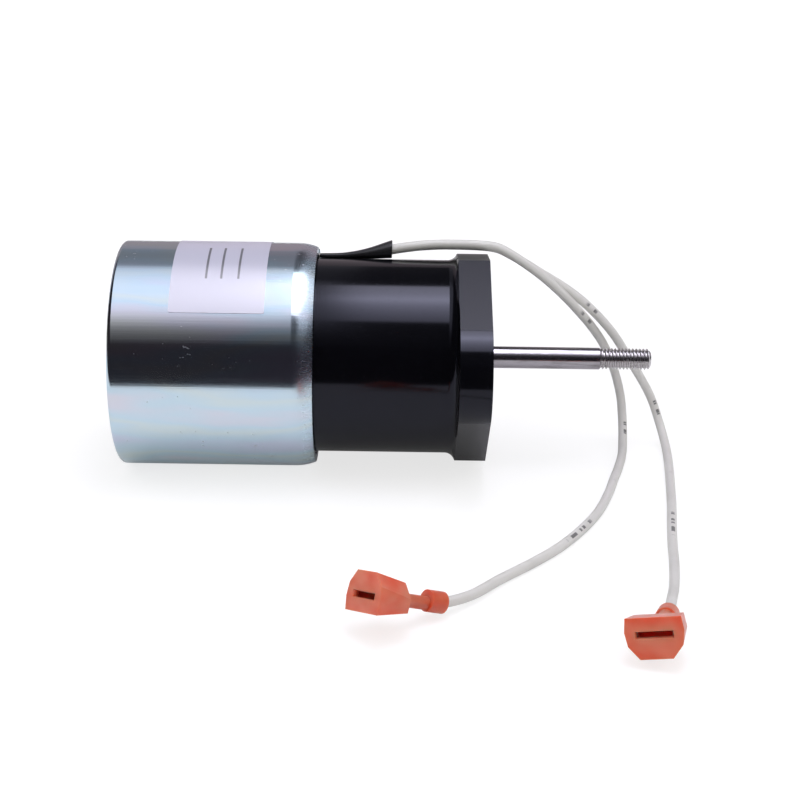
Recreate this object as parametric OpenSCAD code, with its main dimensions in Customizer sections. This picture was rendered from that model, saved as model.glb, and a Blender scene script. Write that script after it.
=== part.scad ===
// Pull solenoid with a two-lobed mounting flange, lying on its side with its leads run out in front.
// The plunger's axis is the X axis and the rod points along +X. The origin is on that axis,
// in the mounting face of the flange. Z is up, and the can rests on the plane z = -can_d / 2.
// All sizes are in millimetres.

/* [Can] */
// Outside diameter of the drawn can
can_d = 50.8; // [45:0.2:60]
// Length of the can along the axis
can_len = 44; // [40:0.5:60]
// Wall of the can
can_wall = 1.5; // [1:0.1:2]
// Outside corner radius at the closed end
can_corner = 1; // [0.4:0.1:1.4]
// Length of the lip that is rolled over the housing
lip_len = 4.6; // [3.6:0.1:5.2]
// How far the lip drops at its open edge
lip_drop = 0.9; // [0.5:0.1:1.3]

/* [Front housing] */
// Step from the can's outside down to the turned neck
neck_inset = 3.4; // [3.4:0.1:5]
// Length of the neck between can and flange
neck_len = 31.6; // [28:0.2:44]
// Fillet between neck and flange
neck_fillet = 2.3; // [1:0.1:3]
// Length of the spigot inside the can, from the can's open edge
spigot_len = 5.4; // [5.3:0.1:8]
// Distance from the can's open edge back to the spigot's shoulder
shoulder_back = 1; // [0.6:0.1:2]
// Inside diameter of the spring chamber
chamber_d = 34; // [31:0.5:36]
// Metal between the spring chamber and the back of the flange
web_t = 3.5; // [2:0.1:6]

/* [Flange] */
// Thickness of the flange
flange_t = 7; // [5:0.5:10]
// Radius of each lobe
lobe_r = 12.3; // [10:0.1:14]
// Distance from the axis to the centre of each lobe
lobe_offset = 18; // [16:0.5:26]
// How far the two blunt ends stand out from the neck
blunt_rise = 0.9; // [0.8:0.1:3]
// How far the flange's straight sides stand out past the neck
side_rise = 0.5; // [0.2:0.1:0.7]
// Angle by which the near lobe is turned up
flange_turn = 8.3; // [0:0.1:30]
// Core diameter of the two tapped mounting holes
hole_d = 5; // [3:0.1:7]
// Diameter of the circle through the mounting holes
hole_circle_d = 38; // [34:0.5:44]
// Metal left under each mounting hole
hole_floor = 2.5; // [1:0.1:4]

/* [Rod] */
// Diameter of the ground rod
rod_d = 5; // [4:0.1:6]
// Length of rod outside the mounting face
rod_out = 37.5; // [30:0.5:50]
// Length of the threaded tip
thread_len = 11.2; // [8:0.2:16]
// Radial step from the ground rod down to the middle of the thread
thread_step = 0.17; // [0.16:0.01:0.3]
// Chamfer at the tip
tip_chamfer = 0.6; // [0.3:0.1:1]

/* [Rod guide] */
// Outside diameter of the bushing, wiper and retainer
bush_d = 9; // [8:0.1:11]
// Thickness of the wiper
wiper_t = 1.7; // [1:0.1:3]
// Thickness of the wiper's retainer
retainer_t = 0.8; // [0.5:0.1:1.5]

/* [Plunger] */
// Diameter of the plunger
plunger_d = 16; // [14:0.5:18]
// Travel of the plunger
stroke = 16; // [8:0.5:16]
// Depth of the rod's socket in the plunger
socket_len = 21.5; // [14:0.5:26]
// Diameter of the cross pin
pin_d = 2; // [1.5:0.1:2.5]
// Distance from the plunger's front face to the cross pin
pin_back = 9.5; // [6:0.5:12]
// Depth of the chamfer at both ends of the plunger
plunger_chamfer = 0.8; // [0.4:0.1:1.5]

/* [Stops and spring] */
// Thickness of the rubber bumper
bumper_t = 1.5; // [1:0.1:3]
// Outside diameter of the bumper
bumper_d = 30; // [26:0.5:31]
// Diameter of the hole in the bumper
bumper_hole_d = 12; // [11:0.5:16]
// Thickness of the shim on the pole face
shim_t = 0.4; // [0.2:0.1:1]
// Diameter of the spring's wire
spring_wire = 2; // [1.4:0.1:2.2]
// Mean diameter of the spring
spring_mean_d = 23; // [22.5:0.5:26]
// Number of coils in the spring
spring_turns = 6; // [4:0.5:6]
// Outside diameter of the spring seat
seat_d = 28; // [27:0.5:30]
// Thickness of the spring seat
seat_t = 2.5; // [2:0.1:4]
// Height of the collar that centres the spring on its seat
collar_len = 2.5; // [1:0.1:4]
// Thickness of the clip in front of the seat
clip_t = 0.8; // [0.6:0.1:1]
// Outside diameter of the clip
clip_d = 9; // [7.5:0.1:10]
// Depth of the clip's groove in the rod
groove_depth = 0.5; // [0.3:0.1:0.8]

/* [Coil] */
// Wall of the brass guide tube
tube_wall = 0.55; // [0.3:0.05:1]
// Length of the fixed pole piece
pole_len = 11.1; // [8:0.1:11.5]
// Diameter of the pole piece's rivet in the can's base
rivet_d = 10; // [6:0.5:12]
// Wall of the bobbin's hub
hub_wall = 1.6; // [1:0.1:2.5]
// Thickness of the bobbin's two flanges
bobbin_flange_t = 1.6; // [1:0.1:2.5]
// Room between the winding and the inside of the can
coil_room = 2.9; // [2.6:0.1:6]
// Thickness of the tape round the winding
tape_t = 0.3; // [0.1:0.1:0.6]
// Thickness of the steel flux plate
plate_t = 4; // [3:0.5:6]
// Thickness of the insulating washer behind the bobbin
insulator_t = 0.8; // [0.4:0.1:1.5]

/* [Leads] */
// Angle of the lead exit round the axis, up from +Y
lead_angle = 70; // [60:1:80]
// Diameter of the thin leads that come out of the coil
coil_lead_d = 0.7; // [0.6:0.1:1]
// Sideways distance of each thin lead from the middle of the exit
coil_lead_side = 0.65; // [0.62:0.01:0.8]
// Width of the slot that the leads pass through
slot_w = 4.4; // [3.6:0.1:6]
// Wall of the shrunk sleeve
sleeve_wall = 0.25; // [0.2:0.05:0.35]
// Diameter of the ivory leads
wire_d = 2.1; // [1.6:0.1:2.2]

/* [Terminals] */
// Diameter of the terminal's barrel
barrel_d = 4.2; // [3.8:0.1:4.4]
// Length of the barrel
barrel_len = 3.8; // [3.6:0.1:5]
// Diameter of the crimped waist
waist_d = 2.6; // [2.4:0.1:3]
// Length from the barrel's open end to the cover's shoulder
shoulder_at = 10.1; // [9:0.1:11]
// Length of the terminal overall
terminal_len = 18.3; // [17:0.1:20]
// Width of the mouth at its widest
mouth_w = 10.7; // [10.2:0.1:12]
// Height of the mouth
mouth_h = 7.6; // [7.2:0.1:9]
// Narrowing of the cover in width, from mouth to shoulder
taper_w = 1; // [0.2:0.1:1.4]
// Narrowing of the cover in height, from mouth to shoulder
taper_h = 2.2; // [1:0.1:2.4]
// Chamfer of the two corners away from the cover's flat side
corner_chamfer = 2.4; // [1.5:0.1:2.6]
// Distance of the tab's slot from the cover's axis, towards the flat side
slot_offset = 0.6; // [0:0.1:0.7]
// Width of the tab that the contact takes
tab_w = 6.3; // [4.8:0.1:6.3]
// Thickness of that tab
tab_t = 0.8; // [0.5:0.1:1]

/* [Clearances] */
// Radial running gap of the rod in its bushing
bush_gap = 0.035; // [0.02:0.005:0.08]
// Radial running gap of the plunger in its tube
slide_gap = 0.05; // [0.02:0.01:0.1]
// Gap between pieces that are pressed or dropped into each other
seat_gap = 0.05; // [0.02:0.01:0.1]
// Gap left at the end of the plunger's travel
stop_gap = 0.1; // [0.05:0.05:0.5]

/* [Hidden] */
$fn = 64;
eps = 0.01;
hull_fn = 32;

// Radii
can_r = can_d / 2;
can_in_r = can_r - can_wall;
neck_r = can_r - neck_inset;
rod_r = rod_d / 2;
plunger_r = plunger_d / 2;
tube_in_r = plunger_r + slide_gap;
tube_r = tube_in_r + tube_wall;
hub_in_r = tube_r + seat_gap;
hub_r = hub_in_r + hub_wall;
winding_r = can_in_r - coil_room;
tape_r = winding_r + tape_t;
lip_round = (lip_len * lip_len + lip_drop * lip_drop) / (2 * lip_drop);
lip_centre_r = can_r - lip_round;

// Stations along the axis, from the mounting face backwards
x_flange_back = -flange_t;
x_wall = x_flange_back - web_t;
x_can_front = x_flange_back - neck_len;
x_lip = x_can_front - lip_len;
x_shoulder = x_can_front - shoulder_back;
x_plate_front = x_can_front - spigot_len;
x_plate_back = x_plate_front - plate_t;
x_can_back = x_can_front - can_len;
x_base = x_can_back + can_wall;
x_bobbin_back = x_base + insulator_t;
x_pole = x_base + pole_len;
x_shim = x_pole + shim_t;
x_bumper = x_wall - bumper_t;
x_seat = x_bumper - seat_t;
x_plunger_back = x_shim + stop_gap + stroke;
x_pin = x_seat - pin_back;
x_thread = rod_out - thread_len;
bush_len = flange_t + web_t - wiper_t - retainer_t;
pin_inset = 0.3;
collar_gap = 0.4;
clip_snap = 0.4;

// Flange outline: the straight sides run from the blunt ends to a tangent on each lobe
blunt_h = neck_r + blunt_rise;
side_h = neck_r + side_rise;
side_angle = acos((side_h - lobe_r) / lobe_offset);
blunt_half = (side_h - blunt_h * sin(side_angle)) / cos(side_angle);
tangent_at = [lobe_offset + lobe_r * cos(side_angle), lobe_r * sin(side_angle)];

// Lead exit: the thin leads run along the neck at this radius
grommet_wall = 0.3;
slot_floor_r = neck_r + seat_gap;
lead_r = slot_floor_r + grommet_wall + coil_lead_d / 2;
grommet_top_r = lead_r + coil_lead_d / 2 + grommet_wall;
slot_notch_len = 3.3;
coil_lead_tail = 2;

// Routes of the leads. Each starts in the sleeve and rides over the housing and the flange:
// place along the axis and rise above the neck
over_housing = [[-26.5, 1.4], [-21.7, 2.4], [-15, 3.35], [-8, 3.65], [0.8, 3.3]];
lead_spread = 2.6;
// It then comes down behind the rod and runs along the table at this height
lie_z = wire_d / 2 + seat_gap - can_r;
lead_a_free = [
  [5, 7.05, 22.55], [11.3, 7.4, 18.3], [16.3, 8.2, 14], [20.75, 9.4, 9.4], [24.9, 11.2, 4.4],
  [28.4, 12.8, -0.8], [31.4, 14, -7.5], [33.3, 14.2, -14], [33.9, 12.2, lie_z + 4.4], [33.6, 7.8, lie_z + 1.1],
  [32.7, 1.5, lie_z + 0.1], [31, -6, lie_z], [29.1, -13, lie_z], [26.7, -22, lie_z], [23.3, -32, lie_z],
  [18.9, -41, lie_z], [13.6, -49.6, lie_z], [7.5, -57.2, lie_z], [0.6, -64.9, lie_z + 0.1],
  [-5.4, -72.9, lie_z + 0.6], [-11.15, -78.11, lie_z + 1.53], [-13.58, -79.62, lie_z + 2.65]
];
lead_b_free = [
  [5.2, 9.15, 21.85], [11.9, 9.9, 17.7], [17.6, 10.8, 14.1], [22.35, 11, 10.6], [26.4, 10.8, 6.9],
  [30.5, 10.9, 2.2], [34.4, 11.6, -3.8], [38, 12.9, -9.5], [40.7, 13.4, -14.5], [42.6, 11.9, lie_z + 4.7],
  [43.6, 7.8, lie_z + 1.1], [43.4, 1.5, lie_z + 0.1], [42.4, -8, lie_z], [41.3, -17, lie_z], [40, -27, lie_z],
  [38.5, -37, lie_z], [37.1, -47, lie_z], [35.9, -57, lie_z], [34.5, -66, lie_z], [32.9, -73, lie_z + 0.3],
  [31.13, -80.2, lie_z + 1.05], [30.24, -83.06, lie_z + 1.71]
];
lead_a_route = concat(housing_run(lead_angle + lead_spread), lead_a_free);
lead_b_route = concat(housing_run(lead_angle - lead_spread), lead_b_free);
route_reference = [0.7, 0.2, 0.69];
wire_sides = 8;

// Sleeve stations at its thin end, at the start of the ivory leads and at its open end:
// place along the axis, half spread, half height and radius of its middle
sleeve_back = 7;
sleeve_front = 4.6;
sleeve_mouth_h = 4.2;
sleeve_play = 0.05;
sleeve_start = lead_a_route[0][0];
sleeve_x = [sleeve_start - sleeve_back, sleeve_start - sleeve_wall, sleeve_start + sleeve_front];
sleeve_spread = [coil_lead_side, wire_d / 2, coil_lead_side];
sleeve_half = [
  coil_lead_d / 2 + sleeve_wall + sleeve_play, wire_d / 2 + sleeve_wall + sleeve_play, sleeve_mouth_h / 2
];
sleeve_mid_r = [lead_r, neck_r + over_housing[0][1], neck_r + over_housing[1][1]];

// Terminal details
wire_depth = norm(lead_a_route[len(lead_a_route) - 1] - lead_a_route[len(lead_a_route) - 2]);
bore_play = 0.25;
bore_r = wire_d / 2 + bore_play;
cover_roll = [197, 12];
shoulder_len = 1;
flat_inset = 0.35;
side_draft = 0.45;
widest_down = 2.6;
stub_wall = 0.6;
stub_r = waist_d / 2 - stub_wall;
stub_drop = 0.5;
wire_stop = 0.3;
cavity_wall = 0.9;
cavity_side = 0.55;
spring_room = 1.5;
cavity_h = tab_t + spring_room;
cavity_floor = 0.4;
cavity_at = shoulder_at + shoulder_len + cavity_floor;
tab_play = 0.3;
funnel_len = 0.5;
funnel_grow = 0.3;
contact_t = 0.6;

// Stretch of a lead over the housing, at an angle round the axis
function housing_run(angle) = [
  for (p = over_housing) [p[0], (neck_r + p[1]) * cos(angle), (neck_r + p[1]) * sin(angle)]
];

// Places a profile of radius against X station, turned about the axis
module turned() {
  rotate([0, 90, 0]) rotate_extrude() children();
}

// Rectangle in a turned profile, between two radii and two stations
module band(r0, r1, x0, x1) {
  translate([r0, x0]) square([r1 - r0, x1 - x0]);
}

// Cylinder along the axis between two stations
module axial(r, x0, x1) {
  translate([x0, 0, 0]) rotate([0, 90, 0]) cylinder(r = r, h = x1 - x0);
}

// Outline of the inside of the can, or of its outside when the wall is nought
module can_profile(wall, x0, x1) {
  straight_r = can_r - wall;
  band(0, straight_r, x0, min(x1, x_lip));
  if (x1 > x_lip) {
    band(0, lip_centre_r, x_lip, x1);
    intersection() {
      translate([lip_centre_r, x_lip]) circle(r = lip_round - wall, $fn = 128);
      band(lip_centre_r, can_r, x_lip, x1);
    }
  }
}

// Slot for the leads, cut along the axis at the lead exit
module lead_slot(r0, r1, x0, x1, w) {
  rotate([lead_angle, 0, 0]) translate([x0, r0, -w / 2]) cube([x1 - x0, r1 - r0, w]);
}

// Outline of the flange with its lobes along Y
module flange_outline() {
  rotate(-flange_turn) {
    polygon([
      [blunt_half, blunt_h], tangent_at, [tangent_at[0], -tangent_at[1]], [blunt_half, -blunt_h],
      [-blunt_half, -blunt_h], [-tangent_at[0], -tangent_at[1]], [-tangent_at[0], tangent_at[1]],
      [-blunt_half, blunt_h]
    ]);
    for (side = [-1, 1]) translate([side * lobe_offset, 0]) circle(r = lobe_r);
  }
}

// Raises a flat outline in Y and Z along the axis
module along_axis(x0, x1) {
  translate([x0, 0, 0]) rotate([90, 0, 90]) linear_extrude(x1 - x0) children();
}

module can_shell() {
  color("#c9ccd6") difference() {
    turned() difference() {
      can_profile(0, x_can_back, x_can_front);
      can_profile(can_wall, x_base, x_can_front + eps);
      band(0, rivet_d / 2, x_can_back - eps, x_base + eps);
      difference() {
        band(can_r - can_corner, can_r + eps, x_can_back - eps, x_can_back + can_corner);
        translate([can_r - can_corner, x_can_back + can_corner]) circle(r = can_corner);
      }
    }
    lead_slot(slot_floor_r, can_r + eps, x_can_front - slot_notch_len, x_can_front + eps, slot_w);
  }
}

module pole_piece() {
  color("#8d9096") turned() {
    band(0, rivet_d / 2, x_can_back, x_base);
    band(0, plunger_r, x_base, x_pole);
  }
}

module residual_shim() {
  color("#c8a24a") turned() band(0, plunger_r - slide_gap, x_pole, x_shim);
}

module rear_insulator() {
  color("#b58a5a") turned() band(tube_r + seat_gap, can_in_r - 4 * seat_gap, x_base, x_bobbin_back);
}

module coil_bobbin() {
  color("#e8e2d0") difference() {
    turned() {
      band(hub_in_r, hub_r, x_bobbin_back, x_plate_back);
      band(hub_r, can_in_r - 4 * seat_gap, x_bobbin_back, x_bobbin_back + bobbin_flange_t);
      band(hub_r, can_in_r - 4 * seat_gap, x_plate_back - bobbin_flange_t, x_plate_back);
    }
    lead_slot(slot_floor_r, can_r, x_plate_back - bobbin_flange_t - eps, x_plate_back + eps, slot_w);
  }
}

module coil_winding() {
  color("#b4622d") turned()
    band(hub_r, winding_r, x_bobbin_back + bobbin_flange_t, x_plate_back - bobbin_flange_t);
}

module winding_tape() {
  color("#d8b53a") turned()
    band(winding_r, tape_r, x_bobbin_back + bobbin_flange_t, x_plate_back - bobbin_flange_t);
}

module guide_tube() {
  color("#c7a04a") turned() band(tube_in_r, tube_r, x_base, x_plate_back);
}

module flux_plate() {
  color("#8a8d92") difference() {
    turned() band(plunger_r + 2 * slide_gap, can_in_r - seat_gap, x_plate_back, x_plate_front);
    lead_slot(slot_floor_r, can_r, x_plate_back - eps, x_plate_front + eps, slot_w);
  }
}

module front_housing() {
  color("#17181b") difference() {
    union() {
      turned() {
        can_profile(can_wall + seat_gap, x_plate_front, x_shoulder);
        band(0, neck_r, x_shoulder, x_flange_back);
      }
      along_axis(x_flange_back, 0) flange_outline();
      intersection() {
        turned() difference() {
          band(neck_r - neck_fillet, neck_r + neck_fillet, x_flange_back - neck_fillet, x_flange_back);
          translate([neck_r + neck_fillet, x_flange_back - neck_fillet]) circle(r = neck_fillet);
        }
        along_axis(x_flange_back - neck_fillet, x_flange_back) flange_outline();
      }
    }
    axial(chamber_d / 2, x_plate_front - eps, x_wall);
    axial(bush_d / 2, x_wall - eps, eps);
    rotate([-flange_turn, 0, 0]) for (side = [-1, 1])
      translate([0, side * hole_circle_d / 2, 0]) axial(hole_d / 2, x_wall + hole_floor, eps);
    lead_slot(slot_floor_r, can_r, x_plate_front - eps, x_shoulder + eps, slot_w);
  }
}

module lead_grommet() {
  color("#26272a") difference() {
    lead_slot(slot_floor_r, grommet_top_r, x_plate_front, x_can_front, slot_w - 2 * seat_gap);
    rotate([lead_angle, 0, 0]) for (side = [-1, 1])
      translate([0, lead_r, side * coil_lead_side])
        axial(coil_lead_d / 2, x_plate_front - eps, x_can_front + eps);
  }
}

module coil_leads() {
  lead_start = x_plate_back - bobbin_flange_t - coil_lead_tail;
  color("#d9d6cc") rotate([lead_angle, 0, 0]) for (side = [-1, 1])
    translate([0, 0, side * coil_lead_side]) {
      translate([0, lead_r, 0]) axial(coil_lead_d / 2, lead_start, sleeve_x[1]);
      translate([lead_start + coil_lead_d / 2, tape_r + seat_gap, 0]) rotate([-90, 0, 0])
        cylinder(r = coil_lead_d / 2, h = lead_r - tape_r - seat_gap);
    }
}

// One end of a stretch of the sleeve: a thin slice with round sides
module sleeve_slice(i, inset, thick) {
  for (side = [-1, 1]) translate([sleeve_x[i], sleeve_mid_r[i], side * sleeve_spread[i]])
    rotate([0, 90, 0]) cylinder(r = sleeve_half[i] - inset, h = thick, center = true, $fn = hull_fn);
}

module sleeve_body(inset, thick) {
  for (i = [0, 1]) hull() {
    sleeve_slice(i, inset, thick);
    sleeve_slice(i + 1, inset, thick);
  }
}

module heat_shrink() {
  color("#1b1b1d") rotate([lead_angle, 0, 0]) difference() {
    sleeve_body(0, eps);
    sleeve_body(sleeve_wall, 4 * eps);
  }
}

// Sweep of a round section along points, as one closed solid
function unit(v) = v / norm(v);
function step_dir(p, i) = unit(p[min(i + 1, len(p) - 1)] - p[max(i - 1, 0)]);
function ring_at(p, i, r, sides, ref) =
  let (t = step_dir(p, i), a = unit(cross(t, ref)), b = cross(t, a))
  [for (k = [0:sides - 1]) p[i] + r * (cos(360 * k / sides) * a + sin(360 * k / sides) * b)];

module swept(p, r, sides, ref) {
  last = len(p) - 1;
  rings = [for (i = [0:last]) each ring_at(p, i, r, sides, ref)];
  start_cap = [[for (k = [0:sides - 1]) k]];
  end_cap = [[for (k = [sides - 1:-1:0]) last * sides + k]];
  walls = [
    for (i = [0:last - 1]) for (k = [0:sides - 1])
      let (k1 = (k + 1) % sides, here = i * sides, there = here + sides)
      each [[here + k, there + k, there + k1], [here + k, there + k1, here + k1]]
  ];
  polyhedron(rings, concat(start_cap, walls, end_cap));
}

module lead_wire(route) {
  color("#ece6d2") swept(route, wire_d / 2, wire_sides, route_reference);
}

module lead_wire_a() {
  lead_wire(lead_a_route);
}

module lead_wire_b() {
  lead_wire(lead_b_route);
}

// Puts a terminal on the end of a lead: its barrel opens where the last stretch of the lead begins
module on_lead(route, roll) {
  entry = route[len(route) - 2];
  run = route[len(route) - 1] - entry;
  yaw = atan2(run[1], run[0]);
  pitch = atan2(run[2], norm([run[0], run[1]]));
  translate(entry) rotate([0, -pitch, yaw]) rotate([roll, 0, 0]) children();
}

// Slice of the terminal's cover, square to its length: flat on top, chamfered below
module cover_slice(x, w, h) {
  half = [
    [w / 2 - flat_inset, h / 2], [w / 2, h / 2 - min(widest_down, h / 2)],
    [w / 2 - side_draft, corner_chamfer - h / 2], [w / 2 - corner_chamfer, -h / 2]
  ];
  translate([x, 0, 0]) rotate([90, 0, 90]) linear_extrude(eps)
    polygon(concat(half, [for (i = [3:-1:0]) [-half[i][0], half[i][1]]]));
}

// Round along a terminal's waist, which lies nearer to the cover's flat side than the barrel does
module along_waist(r, x0, x1) {
  translate([0, 0, stub_drop]) axial(r, x0, x1, $fn = hull_fn);
}

// Box along a terminal's length, centred on the tab's slot
module bar(x0, x1, w, h) {
  translate([x0, -w / 2, slot_offset - h / 2]) cube([x1 - x0, w, h]);
}

module terminal_cover() {
  x_rear = shoulder_at + shoulder_len;
  slot_w_in = tab_w + tab_play;
  slot_h_in = tab_t + tab_play;
  difference() {
    union() {
      axial(barrel_d / 2, 0, barrel_len);
      along_waist(waist_d / 2, barrel_len - eps, shoulder_at);
      hull() {
        along_waist(waist_d / 2, shoulder_at - shoulder_len, shoulder_at - shoulder_len + eps);
        cover_slice(x_rear, mouth_w - taper_w, mouth_h - taper_h);
      }
      hull() {
        cover_slice(x_rear, mouth_w - taper_w, mouth_h - taper_h);
        cover_slice(terminal_len - eps, mouth_w, mouth_h);
      }
    }
    axial(bore_r, -eps, wire_depth + wire_stop);
    along_waist(stub_r + seat_gap, wire_depth, cavity_at + eps);
    bar(cavity_at, terminal_len - cavity_wall, tab_w + 2 * cavity_side, cavity_h);
    bar(cavity_at, terminal_len + eps, slot_w_in, slot_h_in);
    hull() {
      bar(terminal_len - funnel_len, terminal_len - funnel_len + eps, slot_w_in, slot_h_in);
      bar(terminal_len, terminal_len + eps, slot_w_in + funnel_grow, slot_h_in + funnel_grow);
    }
  }
}

module terminal_contact() {
  plate_end = terminal_len - cavity_wall - seat_gap;
  plate_w = tab_w + 2 * (cavity_side - seat_gap);
  wall_h = cavity_h - 2 * seat_gap;
  along_waist(stub_r, wire_depth + seat_gap, cavity_at + seat_gap + contact_t);
  translate([0, 0, (contact_t - wall_h) / 2]) bar(cavity_at + seat_gap, plate_end, plate_w, contact_t);
  for (side = [-1, 1]) translate([0, side * (plate_w - contact_t) / 2, 0])
    bar(cavity_at + seat_gap, plate_end, contact_t, wall_h);
}

module terminal_housing_a() {
  color("#c8503c") on_lead(lead_a_route, cover_roll[0]) terminal_cover();
}

module terminal_housing_b() {
  color("#c8503c") on_lead(lead_b_route, cover_roll[1]) terminal_cover();
}

module terminal_contact_a() {
  color("#c9b37a") on_lead(lead_a_route, cover_roll[0]) terminal_contact();
}

module terminal_contact_b() {
  color("#c9b37a") on_lead(lead_b_route, cover_roll[1]) terminal_contact();
}

module rod_bushing() {
  color("#b0803c") turned() band(rod_r + bush_gap, bush_d / 2, x_wall, x_wall + bush_len);
}

module rod_wiper() {
  color("#202123") turned()
    band(rod_r + slide_gap, bush_d / 2, x_wall + bush_len, x_wall + bush_len + wiper_t);
}

module wiper_retainer() {
  color("#a9acb2") turned() band(rod_r + 8 * slide_gap, bush_d / 2, -retainer_t, 0);
}

module stop_bumper() {
  color("#2a2b2e") turned() band(bumper_hole_d / 2, bumper_d / 2, x_bumper, x_wall);
}

module return_spring() {
  x0 = x_plate_front + spring_wire / 2 + seat_gap;
  x1 = x_seat - spring_wire / 2 - seat_gap;
  steps = 16;
  total = spring_turns * steps;
  // One closed coil at each end, and even pitch between them
  open_span = x1 - x0 - 2 * spring_wire;
  coil = [
    for (i = [0:total])
      let (turn = i / steps, open_turns = spring_turns - 2)
      let (x = turn < 1 ? spring_wire * turn
        : turn > spring_turns - 1 ? spring_wire + open_span + spring_wire * (turn - spring_turns + 1)
        : spring_wire + open_span * (turn - 1) / open_turns)
      [x0 + x, spring_mean_d / 2 * cos(360 * turn), spring_mean_d / 2 * sin(360 * turn)]
  ];
  color("#8f9399") swept(coil, spring_wire / 2, wire_sides, [1, 0, 0]);
}

module plunger() {
  color("#a2a5ab") difference() {
    turned() difference() {
      band(0, plunger_r, x_plunger_back, x_seat);
      for (end = [[x_plunger_back, 1], [x_seat, -1]])
        polygon([
          [plunger_r - plunger_chamfer, end[0] - end[1] * eps],
          [plunger_r + eps, end[0] - end[1] * eps],
          [plunger_r + eps, end[0] + end[1] * plunger_chamfer]
        ]);
      band(0, rod_r, x_seat - socket_len, x_seat + eps);
    }
    translate([x_pin, 0, -plunger_r - eps]) cylinder(r = pin_d / 2, h = plunger_d + 2 * eps);
  }
}

module plunger_rod() {
  clip_at = x_bumper;
  color("#c4c6ca") difference() {
    turned() difference() {
      band(0, rod_r, x_seat - socket_len, rod_out);
      band(rod_r - groove_depth, rod_r + eps, clip_at, clip_at + clip_t);
      band(rod_r - thread_step, rod_r + eps, x_thread, rod_out + eps);
      polygon([
        [rod_r - thread_step - tip_chamfer, rod_out + eps],
        [rod_r + eps, rod_out + eps],
        [rod_r + eps, rod_out - tip_chamfer - thread_step]
      ]);
    }
    translate([x_pin, 0, -plunger_r]) cylinder(r = pin_d / 2, h = plunger_d);
  }
}

module cross_pin() {
  color("#74777c") translate([x_pin, 0, pin_inset - plunger_r])
    cylinder(r = pin_d / 2, h = plunger_d - 2 * pin_inset);
}

module spring_seat() {
  collar_r = spring_mean_d / 2 - spring_wire / 2 - collar_gap;
  color("#9a9da3") turned() {
    band(rod_r, seat_d / 2, x_seat, x_bumper);
    band(plunger_r + 4 * slide_gap, collar_r, x_seat - collar_len, x_seat);
  }
}

module seat_clip() {
  mouth = 2 * (rod_r - groove_depth) - clip_snap;
  color("#55585d") difference() {
    turned() band(rod_r - groove_depth, clip_d / 2, x_bumper, x_bumper + clip_t);
    translate([x_bumper - eps, 0, -mouth / 2]) cube([clip_t + 2 * eps, clip_d, mouth]);
  }
}

can_shell();
pole_piece();
residual_shim();
rear_insulator();
coil_bobbin();
coil_winding();
winding_tape();
guide_tube();
flux_plate();
front_housing();
lead_grommet();
coil_leads();
heat_shrink();
lead_wire_a();
lead_wire_b();
terminal_housing_a();
terminal_contact_a();
terminal_housing_b();
terminal_contact_b();
rod_bushing();
rod_wiper();
wiper_retainer();
stop_bumper();
return_spring();
plunger();
plunger_rod();
cross_pin();
spring_seat();
seat_clip();
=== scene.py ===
"""Dresses a packed pull solenoid and sets it in a small white studio.

Lengths are in metres, in the frame of the solids: the plunger's axis is X, the mounting face of the
flange is at x = 0, the rod points along +X and Z is up.
"""

import logging
import math
from abc import ABC, abstractmethod
from dataclasses import dataclass, field
from enum import Enum
from typing import Any, Sequence

import bmesh
import bpy
from mathutils import Matrix, Vector


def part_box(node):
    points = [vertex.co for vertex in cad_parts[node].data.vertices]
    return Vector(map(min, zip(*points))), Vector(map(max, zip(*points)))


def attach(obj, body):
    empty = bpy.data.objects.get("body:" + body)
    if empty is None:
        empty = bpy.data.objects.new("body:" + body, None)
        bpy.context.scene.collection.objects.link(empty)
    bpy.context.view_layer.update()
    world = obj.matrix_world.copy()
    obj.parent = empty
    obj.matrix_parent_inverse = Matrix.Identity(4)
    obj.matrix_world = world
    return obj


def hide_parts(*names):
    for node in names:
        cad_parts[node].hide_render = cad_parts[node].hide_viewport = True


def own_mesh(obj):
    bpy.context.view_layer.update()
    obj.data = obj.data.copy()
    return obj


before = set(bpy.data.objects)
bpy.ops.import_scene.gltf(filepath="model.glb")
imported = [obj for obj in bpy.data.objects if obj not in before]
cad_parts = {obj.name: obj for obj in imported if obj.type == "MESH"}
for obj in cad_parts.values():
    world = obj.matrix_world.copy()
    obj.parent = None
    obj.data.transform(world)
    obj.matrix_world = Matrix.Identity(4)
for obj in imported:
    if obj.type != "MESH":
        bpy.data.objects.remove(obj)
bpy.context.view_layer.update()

MM = 0.001
LOG = logging.getLogger("solenoid")

ORIGIN = (0.0, 0.0, 0.0)
AXIS = (1.0, 0.0, 0.0)
QUARTER_TURN = math.radians(90.0)
MERGE_NEW = 0.001 * MM
MERGE_SOLID = 0.0005 * MM
FLAT_DEG = 0.3
FLAT_WEIGHT = 80

Colour = tuple[float, float, float]
Place = tuple[float, float, float]
Span = tuple[float, float]
Band = tuple[float, float, float]
Stops = Sequence[tuple[float, Colour]]


class Body(Enum):
    """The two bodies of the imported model."""

    CASE = "case"
    SLIDER = "slider"


class Slot(Enum):
    """The material slots of the record that new pieces carry; nothing in the script reads them."""

    BLACK_HOUSING = "black_housing"
    SHRINK_SLEEVE = "shrink_sleeve"
    IVORY_LEAD = "ivory_lead"
    RED_NYLON = "red_nylon"
    GROUND_STEEL = "ground_steel"
    SPRING_STEEL = "spring_steel"


class Coordinates(Enum):
    """Where a pattern takes its place from: the piece's own frame, or its UV map."""

    OBJECT = "Object"
    UV = "UV"


class Ray(Enum):
    """The kinds of ray that the studio's paints tell apart."""

    CAMERA = "Is Camera Ray"
    DIFFUSE = "Is Diffuse Ray"
    GLOSSY = "Is Glossy Ray"
    TRANSMISSION = "Is Transmission Ray"


class Rounded(Enum):
    """What is rounded: a shape's edges, or a sheet's corners."""

    EDGES = "EDGES"
    CORNERS = "VERTICES"


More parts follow.
